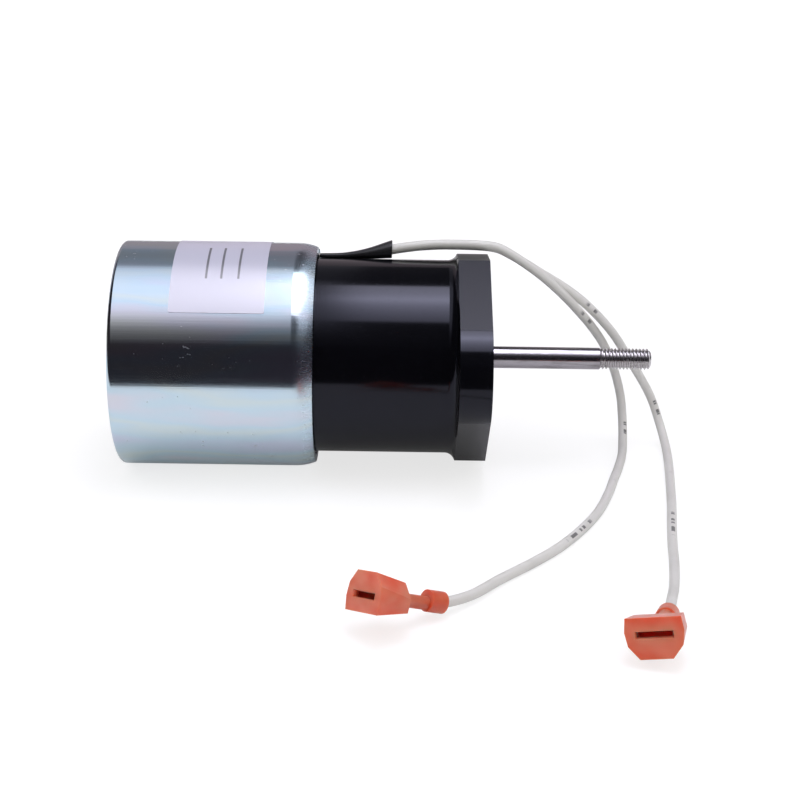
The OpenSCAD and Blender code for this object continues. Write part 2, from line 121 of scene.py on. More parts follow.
@dataclass(frozen=True)
class Pattern:
    """A noise pattern: its lumps per metre or UV unit along each axis, and its octaves of finer noise.

    Where edges are given, the noise becomes a mask that rises from 0 to 1 between them.
    """

    scale: tuple[float, float, float]
    detail: float = 2.0
    edges: Span | None = None
    kind: Coordinates = Coordinates.OBJECT


class Value:
    """A number on a node socket. Arithmetic on it adds Math nodes."""

    def __init__(self, shader: "Shader", socket: bpy.types.NodeSocket) -> None:
        """Wraps one output socket of a shader's node."""
        self.shader = shader
        self.socket = socket

    def _math(self, operation: str, first: Any, second: Any) -> "Value":
        """Adds a Math node.

        Args:
            operation: The Math node's operation.
            first: The first operand, a Value or a number.
            second: The second operand, a Value or a number.

        Returns:
            The node's result.
        """
        return self.shader.value("ShaderNodeMath", {"operation": operation}, {0: first, 1: second})

    def __add__(self, other: Any) -> "Value":
        """Sum."""
        return self._math("ADD", self, other)

    def __radd__(self, other: Any) -> "Value":
        """Sum, with a number first."""
        return self._math("ADD", other, self)

    def __sub__(self, other: Any) -> "Value":
        """Difference."""
        return self._math("SUBTRACT", self, other)

    def __rsub__(self, other: Any) -> "Value":
        """Difference, with a number first."""
        return self._math("SUBTRACT", other, self)

    def __mul__(self, other: Any) -> "Value":
        """Product."""
        return self._math("MULTIPLY", self, other)

    def __rmul__(self, other: Any) -> "Value":
        """Product, with a number first."""
        return self._math("MULTIPLY", other, self)

    def __mod__(self, other: Any) -> "Value":
        """Remainder, always positive."""
        return self._math("FLOORED_MODULO", self, other)

    def __or__(self, other: Any) -> "Value":
        """The larger of two masks."""
        return self._math("MAXIMUM", self, other)

    def step(self, low: float, high: float) -> "Value":
        """Smooth step.

        Args:
            low: The value that gives 0.
            high: The value that gives 1; below low, the step falls.

        Returns:
            A mask from 0 to 1.
        """
        return self.shader.value(
            "ShaderNodeMapRange",
            {"interpolation_type": "SMOOTHSTEP"},
            {"Value": self, "From Min": low, "From Max": high},
        )

    def band(self, low: float, high: float, soft: float) -> "Value":
        """Mask of a band.

        Args:
            low: Where the band starts.
            high: Where the band ends.
            soft: The width of its soft edges.

        Returns:
            1 inside the band and 0 outside it.
        """
        return self.step(low - soft, low) * self.step(high + soft, high)

    def blend(self, other: "Value", share: float) -> "Value":
        """Sum of its own share and the rest of another."""
        return self * share + other * (1.0 - share)


class Shader:
    """The nodes of one material, or of the world, under construction."""

    def __init__(self, home: bpy.types.Material | bpy.types.World) -> None:
        """Starts the nodes afresh.

        Args:
            home: The new material or world that they belong to.
        """
        home.use_nodes = True
        self.home = home
        self.nodes = home.node_tree.nodes
        self.links = home.node_tree.links
        self.nodes.clear()

    def node(self, kind: str, settings: dict[str, Any], inputs: dict[Any, Any]) -> bpy.types.Node:
        """Adds any node.

        Args:
            kind: The node's type.
            settings: Its properties; stops holds a colour ramp's places and colours.
            inputs: Values, links or constants by socket name or number.

        Returns:
            The new node.
        """
        made = self.nodes.new(kind)
        for key, setting in settings.items():
            if key != "stops":
                setattr(made, key, setting)
                continue
            elements = made.color_ramp.elements
            while len(elements) < len(setting):
                elements.new(1.0)
            for element, (place, colour) in zip(elements, setting):
                element.position = place
                element.color = (*colour, 1.0)
        for key, given in inputs.items():
            socket = made.inputs[key]
            given = given.socket if isinstance(given, Value) else given
            if isinstance(given, bpy.types.NodeSocket):
                self.links.new(given, socket)
            elif socket.type == "RGBA" and len(given) == 3:
                socket.default_value = (*given, 1.0)
            else:
                socket.default_value = given
        return made

    def value(self, kind: str, settings: dict[str, Any], inputs: dict[Any, Any]) -> Value:
        """Adds a node and wraps its first output for arithmetic."""
        return Value(self, self.node(kind, settings, inputs).outputs[0])

    def coords(
        self, scale: Sequence[float] = (1, 1, 1), kind: Coordinates = Coordinates.OBJECT
    ) -> bpy.types.NodeSocket:
        """Gives scaled texture coordinates.

        Args:
            scale: How much each axis is multiplied by.
            kind: Which coordinates are read.

        Returns:
            A vector socket.
        """
        source = self.node("ShaderNodeTexCoord", {}, {}).outputs[kind.value]
        mapping = self.node("ShaderNodeMapping", {}, {"Vector": source, "Scale": scale})
        return mapping.outputs[0]

    def axes(self, kind: Coordinates = Coordinates.OBJECT) -> tuple[Value, ...]:
        """Gives the three coordinates as numbers."""
        split = self.node("ShaderNodeSeparateXYZ", {}, {"Vector": self.coords(kind=kind)})
        return tuple(Value(self, output) for output in split.outputs)

    def rays(self, *kinds: Ray) -> list[Value]:
        """Gives a mask for each of those kinds of ray."""
        path = self.node("ShaderNodeLightPath", {}, {}).outputs
        return [Value(self, path[kind.value]) for kind in kinds]

    def noise(self, pattern: Pattern) -> Value:
        """Adds a noise pattern.

        Args:
            pattern: Its scale, detail, edges and coordinates.

        Returns:
            The noise, about 0.5 on average, or the mask that its edges make of it.
        """
        place = self.coords(pattern.scale, pattern.kind)
        inputs = {"Vector": place, "Scale": 1.0, "Detail": pattern.detail}
        made = self.value("ShaderNodeTexNoise", {}, inputs)
        return made.step(*pattern.edges) if pattern.edges else made

    def ramp(self, factor: Value, stops: Stops) -> bpy.types.NodeSocket:
        """Turns a number into a colour along a ramp."""
        return self.node("ShaderNodeValToRGB", {"stops": stops}, {"Fac": factor}).outputs[0]

    def mix(self, factor: Value, first: Any, second: Any) -> bpy.types.NodeSocket:
        """Mixes two colours.

        Args:
            factor: 0 gives the first colour and 1 the second.
            first: A colour or a colour socket.
            second: A colour or a colour socket.

        Returns:
            The mixed colour.
        """
        made = self.node("ShaderNodeMix", {"data_type": "RGBA"}, {0: factor, 6: first, 7: second})
        return made.outputs[2]

    def bump(self, height: Value, depth: float) -> bpy.types.NodeSocket:
        """Gives the normal of a surface with that height pattern, depth metres from low to high."""
        return self.node("ShaderNodeBump", {}, {"Height": height, "Distance": depth}).outputs[0]

    def end(self, surface: bpy.types.Node, output: str = "ShaderNodeOutputMaterial") -> Any:
        """Ends the nodes in that surface and gives the material or world that they belong to."""
        self.node(output, {}, {"Surface": surface.outputs[0]})
        return self.home

    def surface(self, inputs: dict[str, Any]) -> bpy.types.Material:
        """Ends the material in one Principled shader with those values or links."""
        return self.end(self.node("ShaderNodeBsdfPrincipled", {}, inputs))


@dataclass(frozen=True)
class Finish(ABC):
    """A finish that can be put on any number of pieces."""

    name: str

    def material(self) -> bpy.types.Material:
        """Gives the finish's material, built on first use."""
        found = bpy.data.materials.get(self.name)
        return found or self.build(Shader(bpy.data.materials.new(self.name)))

    @abstractmethod
    def build(self, shader: Shader) -> bpy.types.Material:
        """Builds the material in an empty shader."""


@dataclass(frozen=True)
class ZincPlate(Finish):
    """Bright zinc plate on a drawn can, with a faint rainbow from its passivation."""

    tints: Stops = (
        (0.33, (0.67, 0.73, 0.86)),
        (0.42, (0.62, 0.78, 0.87)),
        (0.48, (0.69, 0.80, 0.81)),
        (0.54, (0.62, 0.78, 0.86)),
        (0.62, (0.73, 0.75, 0.82)),
        (0.71, (0.75, 0.79, 0.75)),
    )
    scuffed: Colour = (0.74, 0.76, 0.78)
    cloud: Pattern = Pattern((16, 70, 70), 3.0)
    draw_lines: Pattern = Pattern((40, 2600, 2600), 4.0)
    nicks: Pattern = Pattern((900, 1500, 1500), 1.0, (0.72, 0.76))
    worn: Pattern = Pattern((70, 70, 70), 1.0, (0.47, 0.60))
    lip: Span = (-43.2 * MM, -40.4 * MM)
    lip_worn: float = 0.5
    scuff_tint: float = 0.6
    roughness: float = 0.10
    line_rough: float = 0.08
    scuff_rough: float = 0.25
    lip_rough: float = 0.13
    relief: float = 0.006 * MM

    def build(self, shader: Shader) -> bpy.types.Material:
        """Builds tints, draw lines along the axis, small scuffs and a duller rolled lip.

        Args:
            shader: The material's empty shader.

        Returns:
            The material.
        """
        along, _, _ = shader.axes()
        lip = along.step(*self.lip)
        lines = shader.noise(self.draw_lines)
        scuff = shader.noise(self.nicks) * (shader.noise(self.worn) | lip * self.lip_worn)
        tint = shader.ramp(shader.noise(self.cloud), self.tints)
        dull = self.roughness + lines * self.line_rough + scuff * self.scuff_rough
        return shader.surface(
            {
                "Base Color": shader.mix(scuff * self.scuff_tint, tint, self.scuffed),
                "Metallic": 1.0,
                "Roughness": dull + lip * self.lip_rough,
                "Normal": shader.bump(lines + scuff, self.relief),
            }
        )


@dataclass(frozen=True)
class TurnedBlack(Finish):
    """Glossy black on turned aluminium, with faint tool rings and dust."""

    deep: Colour = (0.001, 0.001, 0.002)
    grey: Colour = (0.003, 0.003, 0.004)
    dusty: Colour = (0.012, 0.012, 0.012)
    sheen: Colour = (0.80, 0.82, 1.0)
    cloud: Pattern = Pattern((110, 110, 110), 3.0)
    rings: Pattern = Pattern((5200, 60, 60))
    dust: Pattern = Pattern((1900, 1900, 1900), 0.0, (0.77, 0.80))
    flange_back: Span = (-7.2 * MM, -6.9 * MM)
    flange_turn_deg: float = 8.3
    flat_reach: float = 24.9 * MM
    flat_soft: float = 0.1 * MM
    dust_tint: float = 0.3
    roughness: float = 0.10
    ring_rough: float = 0.05
    milled_rough: float = 0.22
    dust_rough: float = 0.1
    specular: float = 0.34
    milled_coat: float = 0.47
    coat_rough: float = 0.3
    ring_share: float = 0.8
    relief: float = 0.0025 * MM

    def build(self, shader: Shader) -> bpy.types.Material:
        """Builds tool rings round the axis, a duller milled flange and sparse dust.

        Args:
            shader: The material's empty shader.

        Returns:
            The material.
        """
        x, y, z = shader.axes()
        turn = math.radians(self.flange_turn_deg)
        lobe = y * math.cos(turn) - z * math.sin(turn)
        milled = lobe.band(-self.flat_reach, self.flat_reach, self.flat_soft) * x.step(*self.flange_back)
        cloud, rings, dust = (shader.noise(pattern) for pattern in (self.cloud, self.rings, self.dust))
        black = shader.mix(cloud, self.deep, self.grey)
        dull = self.roughness + rings * self.ring_rough + milled * self.milled_rough
        return shader.surface(
            {
                "Base Color": shader.mix(dust * self.dust_tint, black, self.dusty),
                "Roughness": dull + dust * self.dust_rough,
                "Specular IOR Level": self.specular,
                "Specular Tint": self.sheen,
                "Coat Weight": milled * self.milled_coat,
                "Coat Roughness": self.coat_rough,
                "Normal": shader.bump(rings.blend(cloud, self.ring_share), self.relief),
            }
        )


@dataclass(frozen=True)
class GroundSteel(Finish):
    """Ground and polished rod steel, with fine rings, a little handling haze and a paler cut thread."""

    bright: Colour = (0.42, 0.40, 0.42)
    hazed: Colour = (0.30, 0.285, 0.295)
    cut: Colour = (0.62, 0.60, 0.60)
    rings: Pattern = Pattern((9000, 30, 30), 3.0)
    haze: Pattern = Pattern((160, 420, 420), 3.0, (0.42, 0.72))
    thread: Span = (25.8 * MM, 26.0 * MM)
    roughness: float = 0.13
    ring_rough: float = 0.10
    haze_rough: float = 0.08
    thread_rough: float = 0.05
    relief: float = 0.003 * MM

    def build(self, shader: Shader) -> bpy.types.Material:
        """Builds grinding rings round the axis, hazed patches and the thread's paler steel.

        Args:
            shader: The material's empty shader.

        Returns:
            The material.
        """
        along, _, _ = shader.axes()
        thread = along.step(*self.thread)
        rings, haze = shader.noise(self.rings), shader.noise(self.haze)
        ground = shader.mix(haze, self.bright, self.hazed)
        dull = self.roughness + rings * self.ring_rough + haze * self.haze_rough
        return shader.surface(
            {
                "Base Color": shader.mix(thread, ground, self.cut),
                "Metallic": 1.0,
                "Roughness": dull + thread * self.thread_rough,
                "Normal": shader.bump(rings, self.relief),
            }
        )


@dataclass(frozen=True)
class Insulation(Finish):
    """Extruded ivory insulation with a row of small ink ticks along one side."""

    pale: Colour = (0.745, 0.735, 0.695)
    grubby: Colour = (0.60, 0.59, 0.55)
    ink: Colour = (0.10, 0.10, 0.10)
    soil: Pattern = Pattern((90, 90, 90), 4.0)
    soil_edges: Span = (0.45, 0.75)
    soil_tint: float = 0.5
    groups: Pattern = Pattern((11, 0, 0), 1.0, (0.55, 0.60), Coordinates.UV)
    breaks: Pattern = Pattern((240, 0, 0), 1.0, (0.44, 0.50), Coordinates.UV)
    first_tick: Span = (0.22, 0.24)
    ticks_per_lead: float = 64.0
    tick: Band = (0.15, 0.70, 0.05)
    row: Band = (0.30, 0.40, 0.02)
    ink_tint: float = 0.85
    roughness: float = 0.34
    soil_rough: float = 0.16
    specular: float = 0.45
    relief: float = 0.03 * MM

    def build(self, shader: Shader) -> bpy.types.Material:
        """Builds a slightly soiled jacket and its row of ticks, by the lead's UV map.

        Args:
            shader: The material's empty shader.

        Returns:
            The material.
        """
        along, around, _ = shader.axes(Coordinates.UV)
        soil = shader.noise(self.soil)
        row = ((along * self.ticks_per_lead) % 1.0).band(*self.tick) * around.band(*self.row)
        groups = shader.noise(self.groups) * along.step(*self.first_tick)
        ticks = row * groups * shader.noise(self.breaks)
        jacket = shader.mix(soil.step(*self.soil_edges) * self.soil_tint, self.pale, self.grubby)
        return shader.surface(
            {
                "Base Color": shader.mix(ticks * self.ink_tint, jacket, self.ink),
                "Roughness": self.roughness + soil * self.soil_rough,
                "Specular IOR Level": self.specular,
                "Normal": shader.bump(soil, self.relief),
            }
        )


@dataclass(frozen=True)
class ShrinkTube(Finish):
    """Black shrunk tube with small wrinkles."""

    black: Colour = (0.010, 0.010, 0.011)
    grey: Colour = (0.028, 0.028, 0.030)
    wrinkles: Pattern = Pattern((420, 260, 260), 3.0)
    fine: Pattern = Pattern((3000, 3000, 3000))
    roughness: float = 0.22
    fine_rough: float = 0.16
    wrinkle_share: float = 0.9
    relief: float = 0.12 * MM

    def build(self, shader: Shader) -> bpy.types.Material:
        """Builds wrinkles across the sleeve and a satin gloss.

        Args:
            shader: The material's empty shader.

        Returns:
            The material.
        """
        wrinkles, fine = shader.noise(self.wrinkles), shader.noise(self.fine)
        return shader.surface(
            {
                "Base Color": shader.mix(wrinkles, self.black, self.grey),
                "Roughness": self.roughness + fine * self.fine_rough,
                "Normal": shader.bump(wrinkles.blend(fine, self.wrinkle_share), self.relief),
            }
        )


@dataclass(frozen=True)
class RedNylon(Finish):
    """Translucent salmon-red moulded nylon."""

    deep: Colour = (0.88, 0.122, 0.055)
    pale: Colour = (0.97, 0.270, 0.165)
    flow: Pattern = Pattern((130, 130, 200))
    flow_edges: Span = (0.30, 0.70)
    grain: Pattern = Pattern((2200, 2200, 2200))
    roughness: float = 0.24
    grain_rough: float = 0.16
    ior: float = 1.53
    transmission: float = 0.15
    scatter: float = 0.80
    scatter_reach: tuple[float, float, float] = (4.0 * MM, 1.4 * MM, 0.9 * MM)
    grain_share: float = 0.3
    relief: float = 0.03 * MM

    def build(self, shader: Shader) -> bpy.types.Material:
        """Builds a waxy body with soft flow marks.

        Args:
            shader: The material's empty shader.

        Returns:
            The material.
        """
        flow, grain = shader.noise(self.flow), shader.noise(self.grain)
        return shader.surface(
            {
                "Base Color": shader.mix(flow.step(*self.flow_edges), self.deep, self.pale),
                "Roughness": self.roughness + grain * self.grain_rough,
                "IOR": self.ior,
                "Transmission Weight": self.transmission,
                "Subsurface Weight": self.scatter,
                "Subsurface Radius": self.scatter_reach,
                "Subsurface Scale": 1.0,
                "Normal": shader.bump(grain.blend(flow, self.grain_share), self.relief),
            }
        )


@dataclass(frozen=True)
class LabelPaper(Finish):
    """Pale coated label stock with plain ruled lines."""

    paper: Colour = (0.66, 0.655, 0.79)
    shade: Colour = (0.63, 0.625, 0.76)
    ink: Colour = (0.045, 0.045, 0.055)
    fibre: Pattern = Pattern((1500, 1500, 1500), 3.0)
    tone: Pattern = Pattern((80, 80, 80))
    rules_u: Sequence[float] = (0.36, 0.52, 0.70)
    rule_w: float = 0.018
    rule_soft: float = 0.006
    rule_v: Band = (0.18, 0.42, 0.004)
    ink_tint: float = 0.9
    roughness: float = 0.32
    fibre_rough: float = 0.16
    gloss: float = 0.20
    coat_ior: float = 3.2
    relief: float = 0.006 * MM

    def build(self, shader: Shader) -> bpy.types.Material:
        """Builds the paper's tone and its ruled lines, by the label's UV map.

        Args:
            shader: The material's empty shader.

        Returns:
            The material.
        """
        across, around, _ = shader.axes(Coordinates.UV)
        fibre, tone = shader.noise(self.fibre), shader.noise(self.tone)
        rules: Any = 0.0
        for place in self.rules_u:
            rules = across.band(place, place + self.rule_w, self.rule_soft) | rules
        ruled = rules * around.band(*self.rule_v)
        paper = shader.mix(tone, self.paper, self.shade)
        return shader.surface(
            {
                "Base Color": shader.mix(ruled * self.ink_tint, paper, self.ink),
                "Roughness": self.roughness + fibre * self.fibre_rough,
                "Coat Weight": 1.0,
                "Coat Roughness": self.gloss,
                "Coat IOR": self.coat_ior,
                "Normal": shader.bump(fibre, self.relief),
            }
        )


@dataclass(frozen=True)
class PlainFinish(Finish):
    """Two close tones of one material, with grain; the inner pieces take it."""

    dark: Colour
    light: Colour
    metallic: float
    roughness: float
    grain: Pattern = Pattern((1400, 1400, 1400))
    relief: float = 0.01 * MM
    tone: Pattern = Pattern((150, 150, 150), 3.0)
    tone_share: float = 0.6
    grain_mean: float = 0.5
    grain_rough: float = 0.2

    def build(self, shader: Shader) -> bpy.types.Material:
        """Builds the tone and the grain.

        Args:
            shader: The material's empty shader.

        Returns:
            The material.
        """
        tone, grain = shader.noise(self.tone), shader.noise(self.grain)
        return shader.surface(
            {
                "Base Color": shader.mix(tone.blend(grain, self.tone_share), self.dark, self.light),
                "Metallic": self.metallic,
                "Roughness": self.roughness + (grain - self.grain_mean) * self.grain_rough,
                "Normal": shader.bump(grain, self.relief),
            }
        )


ZINC = ZincPlate("zinc_plate")
BLACK = TurnedBlack("turned_black")
STEEL = GroundSteel("ground_steel_rod")
IVORY = Insulation("ivory_insulation")
SHRINK = ShrinkTube("shrink_tube")
NYLON = RedNylon("red_nylon_cover")
LABEL = LabelPaper("blank_label")
TURNED = Pattern((7000, 60, 60))
DRAWN = Pattern((300, 3000, 3000))
ROLLED = Pattern((500, 2600, 2600))
WOUND = Pattern((2400, 20, 20))
IRON = PlainFinish("turned_iron", (0.30, 0.30, 0.32), (0.46, 0.46, 0.48), 1.0, 0.34, TURNED)
BRASS = PlainFinish("drawn_brass", (0.56, 0.40, 0.16), (0.74, 0.56, 0.27), 1.0, 0.30, DRAWN)
FIBRE = PlainFinish("pressed_fibre", (0.30, 0.17, 0.08), (0.46, 0.29, 0.15), 0.0, 0.75, relief=0.05 * MM)
BOBBIN = PlainFinish("bobbin_nylon", (0.70, 0.66, 0.56), (0.80, 0.77, 0.68), 0.0, 0.45)
COPPER = PlainFinish("enamelled_copper", (0.34, 0.12, 0.04), (0.62, 0.29, 0.12), 0.8, 0.28, WOUND, 0.1 * MM)
TAPE = PlainFinish("polyester_tape", (0.62, 0.44, 0.05), (0.74, 0.57, 0.11), 0.0, 0.22)
RUBBER = PlainFinish("black_rubber_moulding", (0.012, 0.012, 0.013), (0.032, 0.032, 0.034), 0.0, 0.62)
THIN_LEAD = PlainFinish("thin_lead_insulation", (0.64, 0.62, 0.57), (0.76, 0.74, 0.69), 0.0, 0.36)
TINNED = PlainFinish("tinned_strip", (0.55, 0.50, 0.38), (0.72, 0.68, 0.56), 1.0, 0.32, ROLLED)
BRONZE = PlainFinish("sintered_bronze", (0.36, 0.22, 0.09), (0.54, 0.37, 0.18), 1.0, 0.46, relief=0.02 * MM)
SPRING = PlainFinish("spring_steel_wire", (0.26, 0.26, 0.28), (0.42, 0.43, 0.45), 1.0, 0.30)
ZINC_SMALL = PlainFinish("zinc_small_parts", (0.50, 0.53, 0.57), (0.66, 0.68, 0.71), 1.0, 0.28, TURNED)


def dress(node: str, finish: Finish) -> None:
    """Puts a finish on a CAD node as it stands.

    Args:
        node: The node's name.
        finish: The finish that it gets.
    """
    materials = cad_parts[node].data.materials
    materials.clear()
    materials.append(finish.material())
    LOG.info("%s keeps its solid, in %s", node, finish.name)


@dataclass(frozen=True)
class Piece:
    """A new piece: its name, its body, its finish and what it stands for."""

    name: str
    body: Body
    finish: Finish
    slot: Slot | None = None
    replaces: Sequence[str] = ()
    sharp_deg: float = 35.0

    def add(self, shape: bmesh.types.BMesh) -> bpy.types.Object:
        """Makes the piece's object from a bmesh, which is freed.

        Args:
            shape: The finished shape, in the frame's own place.

        Returns:
            The object, riding on its body.
        """
        mesh = bpy.data.meshes.new(self.name)
        shape.to_mesh(mesh)
        shape.free()
        return self.add_mesh(mesh)

    def add_mesh(self, mesh: bpy.types.Mesh) -> bpy.types.Object:
        """Makes the piece's object from a mesh.

        Args:
            mesh: The finished mesh, in the frame's own place.

        Returns:
            The object, riding on its body.
        """
        mesh.materials.clear()
        mesh.materials.append(self.finish.material())
        mesh.shade_smooth()
        mesh.set_sharp_from_angle(angle=math.radians(self.sharp_deg))
        made = bpy.data.objects.new(self.name, mesh)
        bpy.context.scene.collection.objects.link(made)
        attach(made, self.body.value)
        if self.replaces:
            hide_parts(*self.replaces)
        LOG.info("%s: %d faces, in %s", self.name, len(mesh.polygons), self.finish.name)
        return made


def clean(shape: bmesh.types.BMesh) -> None:
    """Merges doubled vertices, then turns all faces outwards."""
    bmesh.ops.remove_doubles(shape, verts=shape.verts, dist=MERGE_NEW)
    bmesh.ops.recalc_face_normals(shape, faces=shape.faces)


def chain(shape: bmesh.types.BMesh, points: Sequence[Vector], closed: bool = False) -> list:
    """Adds points joined by edges.

    Args:
        shape: The bmesh that gets them.
        points: Their places.
        closed: Whether the last point is joined to the first.

    Returns:
        The new vertices and edges.
    """
    verts = [shape.verts.new(point) for point in points]
    pairs = list(zip(verts, verts[1:] + verts[:1] if closed else verts[1:]))
    return verts + [shape.edges.new(pair) for pair in pairs]


def verts_of(parts: Sequence[Any]) -> list[bmesh.types.BMVert]:
    """Picks the vertices out of vertices and edges."""
    return [part for part in parts if isinstance(part, bmesh.types.BMVert)]


def revolve(shape: bmesh.types.BMesh, profile: Sequence[Span], steps: int) -> None:
    """Turns a profile once round the X axis.

    Args:
        shape: The bmesh that gets the turned shape.
        profile: Places along X and radii, from end to end.
        steps: Faces round the axis.
    """
    line = chain(shape, [Vector((x, 0.0, radius)) for x, radius in profile])
    bmesh.ops.spin(shape, geom=line, cent=ORIGIN, axis=AXIS, angle=math.tau, steps=steps, use_merge=True)


def wind(shape: bmesh.types.BMesh, parts: list, turns: float, pitch: float, turn_steps: int) -> list:
    """Winds a section round the X axis.

    Args:
        shape: The bmesh that gets the wound shape.
        parts: The section's vertices and edges.
        turns: How many turns it makes.
        pitch: How far a turn goes along X.
        turn_steps: Faces in one turn.

    Returns:
        The vertices and edges at the far end.
    """
    return bmesh.ops.spin(
        shape,
        geom=parts,
        cent=ORIGIN,
        axis=AXIS,
        dvec=(pitch / turn_steps, 0.0, 0.0),
        angle=math.tau * turns,
        steps=round(turn_steps * turns),
    )["geom_last"]


def flat_sheet(width: float, length: float) -> bmesh.types.BMesh:
    """Makes a flat rectangle about the origin.

    Args:
        width: Its side along X.
        length: Its side along Y.

    Returns:
        The bmesh.
    """
    sheet = bmesh.new()
    bmesh.ops.create_grid(sheet, x_segments=1, y_segments=1, size=0.5)
    bmesh.ops.scale(sheet, vec=(width, length, 1.0), verts=sheet.verts)
    return sheet


def round_off(shape: bmesh.types.BMesh, parts: list, width: float, segments: int, what: Rounded) -> None:
    """Rounds edges or corners.

    Args:
        shape: The bmesh that they belong to.
        parts: The edges or the corners.
        width: How far the rounding reaches.
        segments: Faces across it.
        what: Which of the two they are.
    """
    bmesh.ops.bevel(
        shape,
        geom=parts,
        offset=width,
        offset_type="OFFSET",
        affect=what.value,
        segments=segments,
        profile=0.5,
        material=-1,
        clamp_overlap=True,
    )


def softened(node: str, width: float, segments: int, edge_deg: float) -> bmesh.types.BMesh:
    """Copies a CAD node's shape and breaks its sharp edges.

    Args:
        node: The node's name.
        width: How wide each broken edge is.
        segments: Faces across a broken edge.
        edge_deg: The angle from which an edge counts as sharp.

    Returns:
        The copy, merged and bevelled.
    """
    shape = bmesh.new()
    shape.from_mesh(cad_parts[node].data)
    bmesh.ops.remove_doubles(shape, verts=shape.verts, dist=MERGE_SOLID)
    bmesh.ops.dissolve_limit(
        shape, angle_limit=math.radians(FLAT_DEG), verts=shape.verts, edges=shape.edges
    )
    folds = [edge for edge in shape.edges if len(edge.link_faces) == 2]
    sharp = [edge for edge in folds if edge.calc_face_angle() > math.radians(edge_deg)]
    round_off(shape, sharp, width, segments, Rounded.EDGES)
    return shape


def keep_flat(made: bpy.types.Object) -> bpy.types.Object:
    """Shades large faces flat beside their narrow broken edges, by weighting normals with area.

    Args:
        made: The piece's object.

    Returns:
        The same object.
    """
    weighted = made.modifiers.new("keep_flat", "WEIGHTED_NORMAL")
    weighted.mode = "FACE_AREA"
    weighted.weight = FLAT_WEIGHT
    weighted.keep_sharp = True
    return made


@dataclass
class Can:
    """The drawn can, its label and the magnetic parts that are closed inside it."""

    label_back: float = -69.6 * MM
    label_front: float = -49.0 * MM
    label_from_deg: float = 38.0
    label_to_deg: float = 148.0
    label_corner: float = 0.5 * MM
    corner_segments: int = 6
    label_proud: float = 0.05 * MM
    label_thick: float = 0.07 * MM
    bend_cuts: int = 54
    inside: dict[str, Finish] = field(
        default_factory=lambda: {
            "can_shell": ZINC,
            "pole_piece": IRON,
            "residual_shim": BRASS,
            "rear_insulator": FIBRE,
            "coil_bobbin": BOBBIN,
            "coil_winding": COPPER,
            "winding_tape": TAPE,
            "guide_tube": BRASS,
            "flux_plate": IRON,
        }
    )

    def build(self) -> None:
        """Dresses the solids and adds the label."""
        for node, finish in self.inside.items():
            dress(node, finish)
        self.add_label()

    def add_label(self) -> bpy.types.Object:
        """Adds the label: a flat sheet with round corners, bent round the can.

        Returns:
            The label's object.
        """
        low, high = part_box("can_shell")
        radius = (high.z - low.z) / 2 + self.label_proud
        start, end = math.radians(self.label_from_deg), math.radians(self.label_to_deg)
        width, length = self.label_front - self.label_back, radius * (end - start)
        sheet = flat_sheet(width, length)
        round_off(sheet, sheet.verts[:], self.label_corner, self.corner_segments, Rounded.CORNERS)
        for cut in range(1, self.bend_cuts):
            place = Vector((0.0, length * (cut / self.bend_cuts - 0.5), 0.0))
            geometry = sheet.verts[:] + sheet.edges[:] + sheet.faces[:]
            bmesh.ops.bisect_plane(sheet, geom=geometry, plane_co=place, plane_no=(0.0, 1.0, 0.0))
        uv = sheet.loops.layers.uv.new("UVMap")
        for face in sheet.faces:
            for loop in face.loops:
                flat = loop.vert.co
                loop[uv].uv = (flat.x / width + 0.5, flat.y / length + 0.5)
        for vert in sheet.verts:
            angle = start + (vert.co.y / length + 0.5) * (end - start)
            along = (self.label_front + self.label_back) / 2 + vert.co.x
            vert.co = (along, -radius * math.cos(angle), radius * math.sin(angle))
        bmesh.ops.recalc_face_normals(sheet, faces=sheet.faces)
        bmesh.ops.solidify(sheet, geom=sheet.faces[:], thickness=-self.label_thick)
        return Piece("can_label", Body.CASE, LABEL).add(sheet)


@dataclass
class Housing:
    """The black front housing with its flange, and the rod's guide in it."""

    edge: float = 0.28 * MM
    edge_segments: int = 3
    edge_deg: float = 32.0
    guide: dict[str, Finish] = field(
        default_factory=lambda: {
            "rod_bushing": BRONZE,
            "rod_wiper": RUBBER,
            "wiper_retainer": ZINC_SMALL,
            "stop_bumper": RUBBER,
        }
    )

    def build(self) -> None:
        """Adds the housing with broken edges and dresses the guide."""
        shape = softened("front_housing", self.edge, self.edge_segments, self.edge_deg)
        piece = Piece("housing_turned", Body.CASE, BLACK, Slot.BLACK_HOUSING, ("front_housing",))
        keep_flat(piece.add(shape))
        for node, finish in self.guide.items():
            dress(node, finish)


